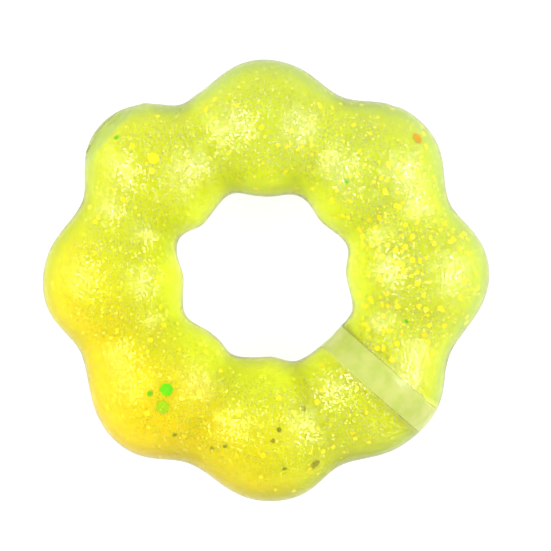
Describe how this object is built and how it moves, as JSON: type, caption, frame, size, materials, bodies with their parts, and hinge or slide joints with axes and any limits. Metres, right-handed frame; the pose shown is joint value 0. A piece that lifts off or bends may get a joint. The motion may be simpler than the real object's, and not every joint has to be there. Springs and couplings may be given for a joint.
{
  "type": "beaded squeeze ring",
  "caption": "Soft ring of rounded beads: a clear elastomer tube filled with yellow glitter gel, closed by a clear plug, for squeezing in the hand.",
  "frame": {"origin": "on the ring's axis, in the plane that the ring rests on", "axes": "+Z is the ring's axis, up from the surface it lies on; +X points to the middle of one bead, and the joint plug is in the bead centred at 315 degrees, counter-clockwise from +X"},
  "size_m": [0.09, 0.09, 0.0279],
  "materials": {
    "clear_elastomer": "clear elastomer, satin",
    "clear_plug": "clear elastomer, satin, slightly hazy",
    "glitter_gel": "translucent yellow gel with fine glitter",
    "gold_film": "metallised film, gold",
    "green_film": "metallised film, green",
    "orange_film": "metallised film, orange",
    "bronze_film": "metallised film, bronze"
  },
  "bodies": {
    "root": {"bead_skin": "clear_elastomer", "joint_plug": "clear_plug", "fill_stopper": "clear_plug", "gel_core": "glitter_gel", "gold_flakes": "gold_film", "green_hexes": "green_film", "green_flakes": "green_film", "orange_hexes": "orange_film", "bronze_flakes": "bronze_film"}
  },
  "joints": []
}
